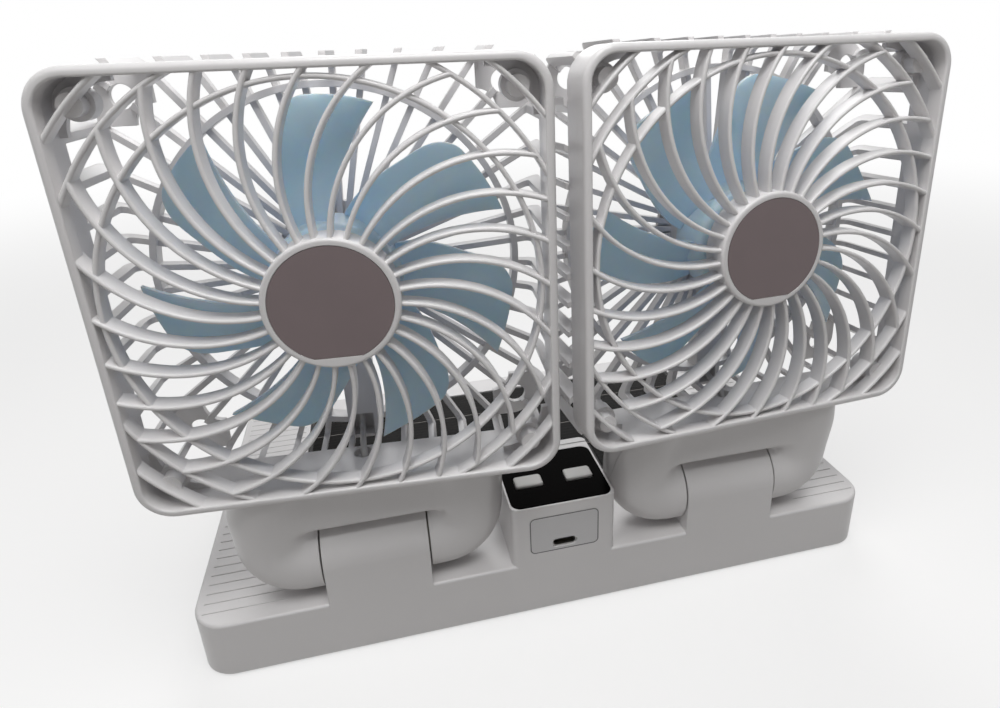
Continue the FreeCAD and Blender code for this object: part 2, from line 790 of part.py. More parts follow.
def make_housing_cuts(duct_back):
    """The motor's seat, the screw ways, the wire channel and its hole through the floor."""
    channel_half = size.duct_width / 2 - size.duct_wall
    channel_floor = -half_head + size.rear_wall
    motor_seat = disc(size.can_radius + size.can_gap, size.pod_front - size.cut_over, can_back)
    channel = slab(-channel_half, channel_half, channel_floor, -size.can_radius + size.can_wall,
                   size.duct_front + size.duct_wall, size.head_depth + size.cut_over)
    cover_seat = slab(-size.duct_width / 2, size.duct_width / 2, channel_floor, -pod_radius,
                      duct_back, size.head_depth + size.cut_over)
    lead_window = slab(-channel_half, channel_half, channel_floor, channel_floor + size.lead_window,
                       size.duct_front - size.cut_over,
                       size.duct_front + size.duct_wall + size.cut_over)
    lead_hole = Part.makeCylinder(size.lead_hole, 4 * size.rear_wall,
                                  at(0, -half_head - 2 * size.rear_wall, size.lead_exit), Vector(0, 0, 1))
    cuts = [motor_seat, channel, cover_seat, lead_window, lead_hole]
    way = size.screw_radius + size.screw_gap
    cuts += [disc(way, 0, size.band_depth + size.cut_over, *place) for place in post_places]
    access_near = size.head_depth - size.back_thickness - size.cut_over
    cuts += [disc(size.access_radius, access_near, size.head_depth + size.cut_over, *place)
             for place in post_places]
    cuts += [disc(way, can_back - size.cut_over, size.head_depth + size.cut_over, place)
             for place in motor_screw_places]
    return cuts


motor_screw_places = [-size.motor_screw_spacing / 2, size.motor_screw_spacing / 2]


def make_duct_cover():
    return slab(-size.duct_width / 2, size.duct_width / 2, -half_head + size.rear_wall, -pod_radius,
                size.head_depth - size.duct_cover_thickness, size.head_depth)


def screw(seat, tip, u, h=0):
    """A pan-head screw that points to the front."""
    shank = disc(size.screw_radius, tip, seat, u, h)
    return shank.fuse(disc(size.screw_head_radius, seat, seat + size.screw_head_height, u, h))


def make_motor():
    can = disc(size.can_radius, size.can_front, can_back)
    hollow = disc(size.can_radius - size.can_wall, size.can_front + size.can_end, can_back - size.can_end)
    front_bush = disc(size.bearing_radius, size.can_front, size.can_front + size.bearing_length)
    rear_end = can_back - size.can_end
    rear_bush = disc(size.bearing_radius, rear_end, rear_end + size.bearing_length)
    nose = disc(size.shaft_radius + size.running_gap, size.can_front - size.cut_over,
                size.can_front + size.can_end + size.cut_over)
    pilots = [disc(size.screw_radius, can_back - size.motor_screw_length, can_back + size.cut_over, place)
              for place in motor_screw_places]
    can = can.cut(Part.makeCompound([hollow, front_bush, rear_bush, nose] + pilots))
    bore = disc(size.shaft_radius + size.running_gap, 0, size.head_depth)
    bearings = Part.makeCompound([front_bush.cut(bore), rear_bush.cut(bore)])
    shaft_back = rear_end + size.bearing_length - size.running_gap
    shaft = disc(size.shaft_radius, size.shaft_front, shaft_back)
    armature = disc(size.armature_radius, size.can_front + size.can_end + size.armature_gap,
                    rear_end - size.armature_gap)
    armature = armature.cut(disc(size.shaft_radius, 0, size.head_depth))
    screw_tip = can_back - size.motor_screw_length
    screws = [screw(size.head_depth, screw_tip, place) for place in motor_screw_places]
    return {"motor_can": can, "motor_bearings": bearings, "motor_shaft": shaft, "motor_armature": armature,
            "motor_screws": Part.makeCompound(screws)}


def polar(radius, degrees, depth):
    turn = math.radians(degrees)
    return at(radius * math.cos(turn), radius * math.sin(turn), depth)


def blade_section(radius, centre, half_turn, near, far):
    """A thin cambered strip across one blade at one radius."""
    turn = math.radians(centre)
    side = Vector(-math.sin(turn), 0, math.cos(turn))
    middle_point = polar(radius, centre, 0)
    reach = radius * math.radians(half_turn)
    camber = size.blade_thickness
    rows = []
    for offset in (-0.5, 0.5):
        row = []
        for share in (-1, -0.5, 0, 0.5, 1):
            depth = (near + far) / 2 + share * (far - near) / 2 + camber * (1 - share * share)
            row.append(middle_point + side * (share * reach)
                       + depth_axis * (depth + offset * size.blade_thickness))
        rows.append(row)
    curves = []
    for row in rows:
        curve = Part.BSplineCurve()
        curve.interpolate(row)
        curves.append(curve.toShape())
    ends = [Part.makeLine(rows[0][-1], rows[1][-1]), Part.makeLine(rows[1][0], rows[0][0])]
    return Part.Wire([curves[0], ends[0], curves[1], ends[1]])


# A blade's shape from root to tip, as shares of its span and degrees about the fan axis
blade_stations = ((0, 22, 24), (0.35, 13, 18.5), (0.7, 5, 15.5), (1.08, -1.5, 14.5))
trailing_edge = ((0, -1.7), (0.35, -5), (0.7, -10), (1, -14.5))
leading_edge = ((1, 5.5), (0.975, 10.5), (0.9, 14.5), (0.65, 21), (0.33, 32), (0, 45))
blade_edge_spare = 4
blade_front_drop = 1.5


def edge_curve(stations):
    """A blade edge through its stations, seen along the fan axis."""
    root = size.rotor_radius - size.rotor_wall / 2
    span = size.blade_radius - root
    curve = Part.BSplineCurve()
    curve.interpolate([polar(root + span * share, angle, 0) for share, angle in stations])
    return curve.toShape()


def make_blade():
    """One swept blade whose outline is rounded at the leading tip."""
    root = size.rotor_radius - size.rotor_wall / 2
    tip = size.blade_radius
    span = tip - root
    sections = []
    for share, centre, half_turn in blade_stations:
        near = size.blade_front + blade_front_drop * share
        sections.append(blade_section(root + span * share, centre, half_turn + blade_edge_spare, near,
                                      size.blade_back))
    plate = Part.makeLoft(sections, True, False)
    tip_start = trailing_edge[-1][1]
    tip_end = leading_edge[0][1]
    tip_arc = Part.Arc(*[polar(tip, angle, 0) for angle in (tip_start, (tip_start + tip_end) / 2, tip_end)])
    root_line = Part.makeLine(polar(root, leading_edge[-1][1], 0), polar(root, trailing_edge[0][1], 0))
    outline = Part.Wire([edge_curve(trailing_edge), tip_arc.toShape(), edge_curve(leading_edge), root_line])
    return plate.common(Part.Face(outline).extrude(depth_axis * size.head_depth))


def make_impeller(first):
    """A rotor whose first blade stands at an angle."""
    hub = disc(size.rotor_radius, size.rotor_front, size.rotor_back)
    front_y = at(0, 0, size.rotor_front).y
    hub = hub.makeFillet(size.rotor_round, edges_at_depth(hub, front_y))
    hub = hub.cut(disc(size.rotor_radius - size.rotor_wall, size.rotor_front + size.rotor_wall,
                       size.rotor_back + size.cut_over))
    boss = disc(size.rotor_boss_radius, size.rotor_front + size.rotor_wall / 2,
                size.can_front - size.rotor_boss_gap)
    blade = make_blade()
    pitch = 360 / size.blade_count
    blades = [around(blade, first + index * pitch) for index in range(int(size.blade_count))]
    inner = disc(size.rotor_radius - size.rotor_wall, 0, size.head_depth)
    rotor = hub.multiFuse([piece.cut(inner) for piece in blades] + [boss])
    return rotor.cut(disc(size.shaft_radius, size.shaft_front, size.head_depth))


# Yoke under each head, about the same hinge
notch_half = size.knuckle_width / 2 + size.washer_thickness + size.washer_gap
elbow_x = size.yoke_width / 2 - size.elbow_radius
elbow_z = size.elbow_radius - size.yoke_radius
split_turn = math.degrees(math.atan2(size.arm_lean, size.head_rise))
neck_y = size.lead_exit - size.front_reach
lead_run_y = neck_y - 2 * size.neck_bore
lead_run_z = size.web_low + size.yoke_wall + 2 * size.lead_radius


def half_pod(side, wall):
    """One stub, elbow and arm of the yoke, inset by a wall."""
    radius = size.yoke_radius - wall
    inner_end = notch_half + (size.bulkhead if wall else 0)
    stub = Part.makeCylinder(radius, elbow_x - inner_end, Vector(side * inner_end, 0, 0), Vector(side, 0, 0))
    half_chord = math.sqrt(radius ** 2 - elbow_z ** 2)
    arc = Part.Arc(Vector(side * elbow_x, -half_chord, elbow_z), Vector(side * elbow_x, 0, -radius),
                   Vector(side * elbow_x, half_chord, elbow_z))
    chord = Part.makeLine(Vector(side * elbow_x, half_chord, elbow_z),
                          Vector(side * elbow_x, -half_chord, elbow_z))
    profile = Part.Face(Part.Wire([arc.toShape(), chord]))
    elbow = profile.revolve(Vector(side * elbow_x, 0, elbow_z), depth_axis, -side * 90)
    arm_x = side * (elbow_x + elbow_z)
    rise = size.head_rise - (size.flange_thickness if wall else 0) - elbow_z
    sections = []
    for share in (0, 0.33, 0.67, 1):
        ease = share * share * (3 - 2 * share)
        minor = size.yoke_radius + (size.arm_top_depth / 2 - size.yoke_radius) * ease - wall
        centre = Vector(arm_x, -size.arm_lean * ease, elbow_z + rise * share)
        oval = Part.Ellipse(centre, radius, minor) if share else Part.Circle(centre, Vector(0, 0, 1), radius)
        sections.append(Part.Wire([oval.toShape()]))
    arm = Part.makeLoft(sections, True, False)
    return [stub, elbow, arm]


def yoke_web(wall):
    """The recessed wall that bridges the two arms above the knuckle, with a round lower lip outside."""
    top = size.head_rise - (size.flange_thickness if wall else 0)
    low = size.web_low + wall
    top_front = -size.arm_lean - size.arm_top_depth / 2 + size.web_recess + wall
    top_back = -size.arm_lean + size.arm_top_depth / 2 - wall
    reach = elbow_x + elbow_z
    corner = [Vector(-reach, -size.web_front + wall, low), Vector(-reach, top_front, top),
              Vector(-reach, top_back, top), Vector(-reach, size.web_back - wall, low)]
    web = Part.Face(Part.makePolygon(corner + corner[:1])).extrude(Vector(2 * reach, 0, 0))
    if wall:
        return web
    lip = [edge for edge in web.Edges
           if along("x")(edge) and at_height(low)(edge) and edge.CenterOfMass.y < 0]
    return web.makeFillet(size.web_round, lip)


def lean(shape):
    """Turn a shape from the upright plane into the plane where the yoke halves meet."""
    copy = shape.copy()
    copy.rotate(Vector(), across_axis, split_turn)
    return copy


def make_yoke():
    solids = [yoke_web(0)]
    hollows = [yoke_web(size.yoke_wall)]
    for side in sides.values():
        solids += half_pod(side, 0)
        hollows += half_pod(side, size.yoke_wall)
    neck_low = size.web_low + size.yoke_wall
    neck = Part.makeCylinder(size.neck_radius, size.head_rise - neck_low, Vector(0, neck_y, neck_low))
    flange_depth = size.arm_top_depth
    flange = Part.makeBox(size.yoke_width, flange_depth, size.flange_thickness,
                          Vector(-size.yoke_width / 2, -size.arm_lean - flange_depth / 2,
                                 size.head_rise - size.flange_thickness))
    upright = [edge for edge in flange.Edges if along("z")(edge)]
    flange = flange.makeFillet(flange_depth * slot_round_share, upright)
    outside = solids[0].multiFuse(solids[1:] + [flange])
    inside = hollows[0].multiFuse(hollows[1:])
    screw_x = elbow_x + elbow_z
    bosses = []
    cuts = []
    screws = []
    for side in sides.values():
        middle_x = side * screw_x
        boss = Part.makeCylinder(size.yoke_boss_radius, 4 * size.yoke_radius,
                                 Vector(middle_x, -2 * size.yoke_radius, size.yoke_boss_rise), depth_axis)
        bosses.append(lean(boss).common(outside))
        start = Vector(middle_x, -size.yoke_screw_front, size.yoke_boss_rise)
        seat = Vector(middle_x, size.yoke_screw_seat, size.yoke_boss_rise)
        reach = size.yoke_screw_front + size.yoke_screw_seat
        shank_way = size.screw_radius + size.running_gap
        head_way = size.screw_head_radius + size.screw_head_gap
        cuts.append(lean(Part.makeCylinder(shank_way, reach + size.cut_over, start, depth_axis)))
        cuts.append(lean(Part.makeCylinder(head_way, size.yoke_radius, seat, depth_axis)))
        shank = Part.makeCylinder(size.screw_radius, reach, start, depth_axis)
        head = Part.makeCylinder(size.screw_head_radius, size.screw_head_height, seat, depth_axis)
        screws.append(lean(shank.fuse(head)))
    tube_reach = notch_half + size.bulkhead + size.cut_over
    cuts.append(Part.makeCylinder(size.tube_radius, 2 * tube_reach, Vector(-tube_reach, 0, 0), across_axis))
    cuts.append(Part.makeCylinder(size.neck_bore, size.head_rise, Vector(0, neck_y, neck_low)))
    cuts.append(Part.makeBox(2 * size.neck_bore, neck_y - lead_run_y, 2 * size.lead_bend,
                             Vector(-size.neck_bore, lead_run_y, lead_run_z - size.lead_radius)))
    shell = outside.fuse(neck).cut(inside).multiFuse(bosses).cut(Part.makeCompound(cuts))
    reach = 4 * size.yoke_width
    front_space = lean(Part.makeBox(2 * reach, reach, 2 * reach, Vector(-reach, -reach, -reach)))
    return {"yoke_front": shell.common(front_space), "yoke_rear": shell.cut(front_space),
            "yoke_screws": Part.makeCompound(screws)}


def make_hinge():
    reach = notch_half + size.tube_overlap
    outside = Part.makeCylinder(size.tube_radius, 2 * reach, Vector(-reach, 0, 0), across_axis)
    bore = Part.makeCylinder(size.tube_bore, 2 * reach, Vector(-reach, 0, 0), across_axis)
    slot = Part.makeBox(size.lead_slot, 2 * size.tube_radius, size.tube_radius,
                        Vector(-size.lead_slot / 2, -size.tube_radius, -size.tube_radius - size.lead_radius))
    washers = []
    for side in sides.values():
        start = Vector(side * notch_half, 0, 0)
        ring_solid = Part.makeCylinder(size.washer_radius, size.washer_thickness, start, Vector(-side, 0, 0))
        hole = Part.makeCylinder(size.tube_radius + size.running_gap, size.washer_thickness, start,
                                 Vector(-side, 0, 0))
        washers.append(ring_solid.cut(hole))
    return {"hinge_tube": outside.cut(bore).cut(slot), "friction_washers": Part.makeCompound(washers)}


def rounded_route(points, bend):
    """Straight runs joined by tangent arcs."""
    edges = []
    last = points[0]
    for before, corner, after in zip(points, points[1:], points[2:]):
        back = (before - corner).normalize()
        ahead = (after - corner).normalize()
        half = back.getAngle(ahead) / 2
        start = corner + back * (bend / math.tan(half))
        end = corner + ahead * (bend / math.tan(half))
        bisector = (back + ahead).normalize()
        nearest = corner + bisector * (bend / math.sin(half) - bend)
        edges += [Part.makeLine(last, start), Part.Arc(start, nearest, end).toShape()]
        last = end
    edges.append(Part.makeLine(last, points[-1]))
    return Part.Wire(edges)


def make_lead():
    """The motor's wire: down the duct, forward over the floor, down the neck and into the hinge tube."""
    duct_depth = size.duct_front + size.duct_wall + 2 * size.lead_radius
    floor_lead = -half_head + size.rear_wall + 2 * size.lead_radius
    arm_x = elbow_x + elbow_z / 2
    points = [at(0, -size.can_radius, duct_depth), at(0, floor_lead, duct_depth),
              at(0, floor_lead, size.lead_exit),
              Vector(0, neck_y, lead_run_z + size.lead_drop),
              Vector(0, lead_run_y, lead_run_z), Vector(arm_x, lead_run_y, lead_run_z),
              Vector(arm_x, 0, 0), Vector(notch_half + size.bulkhead, 0, 0)]
    route = rounded_route(points, size.lead_bend)
    start = Part.Wire([Part.makeCircle(size.lead_radius, points[0], Vector(0, 0, 1))])
    return route.makePipeShell([start], True, False)


def make_heads():
    screw_tip = size.post_front + size.post_floor + size.screw_tip_gap
    head_shapes = {
        "front_grille": make_front_grille(),
        "hub_badge": make_badge(),
        "rear_housing": make_rear_housing(),
        "duct_cover": make_duct_cover(),
        "head_screws": Part.makeCompound([screw(size.band_depth, screw_tip, *place)
                                          for place in post_places]),
    }
    head_shapes.update(make_motor())
    yoke_shapes = make_yoke()
    yoke_shapes.update(make_hinge())
    yoke_shapes["motor_lead"] = make_lead()
    for name, side in sides.items():
        hinge_back = size.base_shift - size.base_depth / 2 + size.knuckle_radius
        hinge = Vector(side * size.head_spacing / 2, hinge_back, size.hinge_height)
        tilt = getattr(size, f"{name}_tilt")
        yoke_place = Placement(hinge, Rotation(across_axis, -tilt))
        head_place = yoke_place * Placement(Vector(), Rotation(Vector(0, 0, 1), side * size.toe_out))
        impeller = make_impeller(getattr(size, f"{name}_blade_angle"))
        node(f"{name}_impeller", feature(f"{name}_impeller_body", impeller), head_place)
        for piece, shape in head_shapes.items():
            node(f"{name}_{piece}", feature(f"{name}_{piece}_body", shape.copy()), head_place)
        for piece, shape in yoke_shapes.items():
            node(f"{name}_{piece}", feature(f"{name}_{piece}_body", shape.copy()), yoke_place)


make_upper_shell()
make_lower_cover()
make_solar_panel()
make_controls()
make_port()
make_battery()
make_heads()
doc.recompute()

for item in doc.Objects:
    if "Invalid" in item.State or "Error" in item.State:
        raise RuntimeError(f"{item.Label} failed: {item.State}")
for item in nodes:
    if item.Shape.isNull() or not item.Shape.isValid() or not item.Shape.Solids:
        raise RuntimeError(f"{item.Label} has no sound solid")

os.makedirs("parts", exist_ok=True)
for item in nodes:
    item.Shape.exportStep(f"parts/{item.Label}.step")
    print(item.Label, len(item.Shape.Solids), "solids", round(item.Shape.Volume, 1))
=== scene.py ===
import bpy
import json
import math
from mathutils import Matrix, Vector


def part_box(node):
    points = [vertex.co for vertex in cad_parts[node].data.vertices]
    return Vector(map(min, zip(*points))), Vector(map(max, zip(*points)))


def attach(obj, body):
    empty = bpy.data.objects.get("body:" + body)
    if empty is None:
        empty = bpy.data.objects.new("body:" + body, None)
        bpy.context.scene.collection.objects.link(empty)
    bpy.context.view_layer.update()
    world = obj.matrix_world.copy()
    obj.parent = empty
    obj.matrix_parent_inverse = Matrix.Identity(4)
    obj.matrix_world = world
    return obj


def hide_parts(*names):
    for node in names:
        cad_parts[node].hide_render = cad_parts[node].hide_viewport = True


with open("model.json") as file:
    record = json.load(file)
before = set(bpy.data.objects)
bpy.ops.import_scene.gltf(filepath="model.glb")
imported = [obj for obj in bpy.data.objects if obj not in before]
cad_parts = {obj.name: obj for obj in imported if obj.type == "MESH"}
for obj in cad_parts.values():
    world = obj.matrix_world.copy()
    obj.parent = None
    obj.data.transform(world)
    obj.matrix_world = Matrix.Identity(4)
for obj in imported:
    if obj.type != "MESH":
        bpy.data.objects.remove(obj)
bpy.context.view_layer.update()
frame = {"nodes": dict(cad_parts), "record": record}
nodes = frame["nodes"]
mm = 0.001
print("frame loaded:", len(nodes), "nodes")

scene = bpy.context.scene
scene.view_settings.view_transform = "Standard"
pureWhite = (1, 1, 1, 1)
mixFrom, mixTo, mixResult = 6, 7, 2  # a Mix node's colour sockets


def linearColor(hexText):
    # undoes the sRGB curve
    shares = [int(hexText[start:start + 2], 16) / 255 for start in (1, 3, 5)]
    return [c / 12.92 if c <= 0.04045 else ((c + 0.055) / 1.055) ** 2.4 for c in shares] + [1]


def addNode(tree, kind, settings=None, inputs=None):
    node = tree.nodes.new(kind)
    for key, value in (settings or {}).items():
        setattr(node, key, value)
    for key, value in (inputs or {}).items():
        if isinstance(value, bpy.types.NodeSocket):
            tree.links.new(value, node.inputs[key])
        else:
            node.inputs[key].default_value = value
    return node


def startMaterial(name):
    material = bpy.data.materials.new(name)
    material.use_nodes = True
    tree = material.node_tree
    place = tree.nodes.new("ShaderNodeTexCoord").outputs["Object"]
    return material, tree, tree.nodes["Principled BSDF"], place


# Camera, from the photograph's own perspective
cameraSettings = {
    "place": (-53.1 * mm, -249.84 * mm, 199.2 * mm),
    "turn": (68.49, 1.75, -13.53),  # degrees
    "focalPixels": 666.46,
    "axisPixel": (526.98, 300.51),
    "imageSize": (1000, 708),
    "sensor": 36,
    "near": 10 * mm,
}


def makeCamera():
    s = cameraSettings
    width, height = s["imageSize"]
    data = bpy.data.cameras.new("photoCamera")
    data.sensor_width = s["sensor"]
    data.lens = s["focalPixels"] / width * s["sensor"]
    data.shift_x = (width / 2 - s["axisPixel"][0]) / width
    data.shift_y = (s["axisPixel"][1] - height / 2) / width
    data.clip_start = s["near"]
    camera = bpy.data.objects.new("photoCamera", data)
    camera.location = s["place"]
    camera.rotation_euler = [math.radians(angle) for angle in s["turn"]]
    scene.collection.objects.link(camera)
    scene.camera = camera


makeCamera()
print("camera set")


# Finishes
absSettings = {
    "pale": "#e6e4e4",
    "shade": "#dfdddd",
    "smooth": 0.28,
    "rough": 0.33,
    "refraction": 1.53,
    "flow": 45 * mm,  # soft shade changes from the melt's flow
    "flowDetail": 3,
    "smudge": 14 * mm,
    "smudgeDetail": 5,
    "smudgeRoughness": 0.6,
    "smudgeBand": (0.3, 0.7),
    "grain": 0.9 * mm,  # real spark grain is about 0.1 mm, drawn coarser so that it shows
    "grainDetail": 2,
    "grainHeight": 0.012 * mm,
    "grainStrength": 0.25,
    "edge": 0.35 * mm,
    "edgeSamples": 6,
}


def mouldedAbs(name):
    # White ABS from a spark-eroded mould: satin, with a fine even grain and soft broken edges
    s = absSettings
    material, tree, surface, place = startMaterial(name)
    flow = addNode(tree, "ShaderNodeTexNoise",
                   inputs={"Vector": place, "Scale": 1 / s["flow"], "Detail": s["flowDetail"]})
    tint = addNode(tree, "ShaderNodeMix", {"data_type": "RGBA"},
                   {"Factor": flow.outputs["Fac"], mixFrom: linearColor(s["pale"]),
                    mixTo: linearColor(s["shade"])})
    smudge = addNode(tree, "ShaderNodeTexNoise",
                     inputs={"Vector": place, "Scale": 1 / s["smudge"], "Detail": s["smudgeDetail"],
                             "Roughness": s["smudgeRoughness"]})
    bandLow, bandHigh = s["smudgeBand"]
    gloss = addNode(tree, "ShaderNodeMapRange",
                    inputs={"Value": smudge.outputs["Fac"], "From Min": bandLow, "From Max": bandHigh,
                            "To Min": s["smooth"], "To Max": s["rough"]})
    grain = addNode(tree, "ShaderNodeTexNoise",
                    inputs={"Vector": place, "Scale": 1 / s["grain"], "Detail": s["grainDetail"]})
    edge = addNode(tree, "ShaderNodeBevel", {"samples": s["edgeSamples"]}, {"Radius": s["edge"]})
    bump = addNode(tree, "ShaderNodeBump",
                   inputs={"Strength": s["grainStrength"], "Distance": s["grainHeight"],
                           "Height": grain.outputs["Fac"], "Normal": edge.outputs["Normal"]})
    tree.links.new(tint.outputs[mixResult], surface.inputs["Base Color"])
    tree.links.new(gloss.outputs["Result"], surface.inputs["Roughness"])
    tree.links.new(bump.outputs["Normal"], surface.inputs["Normal"])
    surface.inputs["IOR"].default_value = s["refraction"]
    return material


bladeSettings = {
    "pale": "#d8e9ff",
    "deep": "#c0dcff",
    "smooth": 0.28,
    "rough": 0.42,
    "refraction": 1.49,
    "cloud": 22 * mm,  # milky clouds in the resin
    "cloudDetail": 4,
    "grain": 0.7 * mm,
    "grainHeight": 0.008 * mm,
    "grainStrength": 0.2,
    "lightInside": 0.85,  # share of the colour that comes from light scattered in the resin
    "scatter": (2.4 * mm, 3.4 * mm, 5 * mm),  # light from behind comes through the thin blades
    "edge": 0.4 * mm,
    "edgeSamples": 4,
}


def milkyPolypropylene(name):
    # Pale blue moulded polypropylene: smooth and clouded, and light from behind shows through it
    s = bladeSettings
    material, tree, surface, place = startMaterial(name)
    cloud = addNode(tree, "ShaderNodeTexNoise",
                    inputs={"Vector": place, "Scale": 1 / s["cloud"], "Detail": s["cloudDetail"]})
    tint = addNode(tree, "ShaderNodeMix", {"data_type": "RGBA"},
                   {"Factor": cloud.outputs["Fac"], mixFrom: linearColor(s["pale"]),
                    mixTo: linearColor(s["deep"])})
    gloss = addNode(tree, "ShaderNodeMapRange",
                    inputs={"Value": cloud.outputs["Fac"], "To Min": s["smooth"], "To Max": s["rough"]})
    grain = addNode(tree, "ShaderNodeTexNoise", inputs={"Vector": place, "Scale": 1 / s["grain"]})
    edge = addNode(tree, "ShaderNodeBevel", {"samples": s["edgeSamples"]}, {"Radius": s["edge"]})
    bump = addNode(tree, "ShaderNodeBump",
                   inputs={"Strength": s["grainStrength"], "Distance": s["grainHeight"],
                           "Height": grain.outputs["Fac"], "Normal": edge.outputs["Normal"]})
    tree.links.new(tint.outputs[mixResult], surface.inputs["Base Color"])
    tree.links.new(gloss.outputs["Result"], surface.inputs["Roughness"])
    tree.links.new(bump.outputs["Normal"], surface.inputs["Normal"])
    surface.inputs["IOR"].default_value = s["refraction"]
    surface.inputs["Subsurface Weight"].default_value = s["lightInside"]
    surface.inputs["Subsurface Radius"].default_value = s["scatter"]
    surface.inputs["Subsurface Scale"].default_value = 1
    return material


# Finishes that differ in colour, gloss and grain only: name, colour, shade, smooth, rough, grain size and
# its height in mm, metal share and mirror level. Above each is what it gives the eye
plainFinishes = {
    # printed film on the hub discs: satin, with a soft broad highlight
    "badge_grey": ("satin_print_film", "#7e7071", "#76696a", 0.34, 0.44, 0.6, 0.006, 0, 0.5),
    # label stock: matt and even
    "label_grey": ("matt_polyester_label", "#d9d8d9", "#d1d0d1", 0.45, 0.55, 0.8, 0.006, 0, 0.5),
    # coated panel: deep black with faint smears
    "black_gloss": ("coated_acrylic_panel", "#040303", "#030202", 0.2, 0.34, 9, 0.002, 0, 0.004),
    # milky push buttons: satin
    "button_grey": ("moulded_milky_abs", "#d6d5d2", "#cbcac7", 0.4, 0.5, 0.7, 0.01, 0, 0.5),
    # sheet under the cells: dark and dull
    "panel_backing": ("glass_fibre_sheet", "#1c1a1a", "#141313", 0.4, 0.55, 1.2, 0.02, 0, 0.2),
    # ribbon gone dull: dark metal without a clear highlight
    "busbar_foil": ("tinned_copper_ribbon", "#4c4947", "#413f3d", 0.35, 0.5, 0.8, 0.01, 0.9, 0.5),
    # fasteners and shafts: bright, with an uneven sheen
    "steel": ("zinc_plated_steel", "#b9b8b5", "#a9a8a5", 0.24, 0.4, 0.5, 0.01, 1, 0.5),
    # rolled can: grey and slightly mottled
    "motor_steel": ("rolled_steel", "#a7a6a4", "#8f8e8c", 0.26, 0.42, 1.5, 0.01, 1, 0.5),
    # bush with open pores: brown and dry
    "bronze": ("sintered_bronze", "#9a7442", "#866337", 0.4, 0.6, 0.4, 0.03, 1, 0.5),
    # windings on laminations: dark and warm
    "armature": ("enamelled_copper", "#7d5a3c", "#5a4537", 0.35, 0.55, 0.5, 0.03, 0.8, 0.5),
    # solder mask over glass weave: green, with a soft gloss
    "board": ("masked_circuit_board", "#1f5a3a", "#184a30", 0.35, 0.5, 1.1, 0.01, 0, 0.5),
    # switch housings: black, with a dry surface
    "switch_plastic": ("moulded_nylon", "#1b1b1c", "#141415", 0.45, 0.6, 0.5, 0.01, 0, 0.4),
    # shrunk film: glossy, with slow wrinkles
    "battery_wrap": ("shrunk_vinyl_film", "#3f6fae", "#345f98", 0.25, 0.4, 6, 0.03, 0, 0.5),
    # feet: dull, without a highlight
    "foot_rubber": ("moulded_rubber", "#3b3a3a", "#2e2d2d", 0.75, 0.9, 0.5, 0.03, 0, 0.3),
    # wire cover: pale and soft
    "wire_sleeve": ("extruded_vinyl", "#d3d1ce", "#c8c6c3", 0.4, 0.5, 0.6, 0.01, 0, 0.5),
    # washers: cream, a little waxy
    "washer_plastic": ("natural_nylon", "#d9d6cc", "#cdc9be", 0.35, 0.5, 0.7, 0.01, 0, 0.5),
    # line round the label: thin grey ink
    "key_line_ink": ("screen_printed_ink", "#6a6868", "#5f5d5d", 0.5, 0.6, 0.5, 0.004, 0, 0.3),
}
plainSettings = {
    "patch": 12 * mm,  # size of the soft colour changes
    "patchDetail": 4,
    "grainDetail": 3,
    "grainStrength": 0.4,
}


def plainFinish(name, paleHex, shadeHex, smooth, rough, grainSize, height, metal, mirror):
    s = plainSettings
    material, tree, surface, place = startMaterial(name)
    patch = addNode(tree, "ShaderNodeTexNoise",
                    inputs={"Vector": place, "Scale": 1 / s["patch"], "Detail": s["patchDetail"]})
    grain = addNode(tree, "ShaderNodeTexNoise",
                    inputs={"Vector": place, "Scale": 1 / (grainSize * mm), "Detail": s["grainDetail"]})
    tint = addNode(tree, "ShaderNodeMix", {"data_type": "RGBA"},
                   {"Factor": patch.outputs["Fac"], mixFrom: linearColor(paleHex),
                    mixTo: linearColor(shadeHex)})
    gloss = addNode(tree, "ShaderNodeMapRange",
                    inputs={"Value": grain.outputs["Fac"], "To Min": smooth, "To Max": rough})
    bump = addNode(tree, "ShaderNodeBump",
                   inputs={"Strength": s["grainStrength"], "Distance": height * mm,
                           "Height": grain.outputs["Fac"]})
    tree.links.new(tint.outputs[mixResult], surface.inputs["Base Color"])
    tree.links.new(gloss.outputs["Result"], surface.inputs["Roughness"])
    tree.links.new(bump.outputs["Normal"], surface.inputs["Normal"])
    surface.inputs["Metallic"].default_value = metal
    surface.inputs["Specular IOR Level"].default_value = mirror
    return material


solarSettings = {
    "cell": "#0f0d0c",
    "deep": "#0b0a09",
    "finger": "#211e1d",
    "fingerPitch": 2.4 * mm,
    "fingerShare": 0.93,  # of the wave, so that a thin line stays
    "waveRate": 20,  # radians that the wave texture turns through in a unit
    "crystal": 7 * mm,
    "smooth": 0.22,
    "rough": 0.34,
    "mirror": 0.02,
}


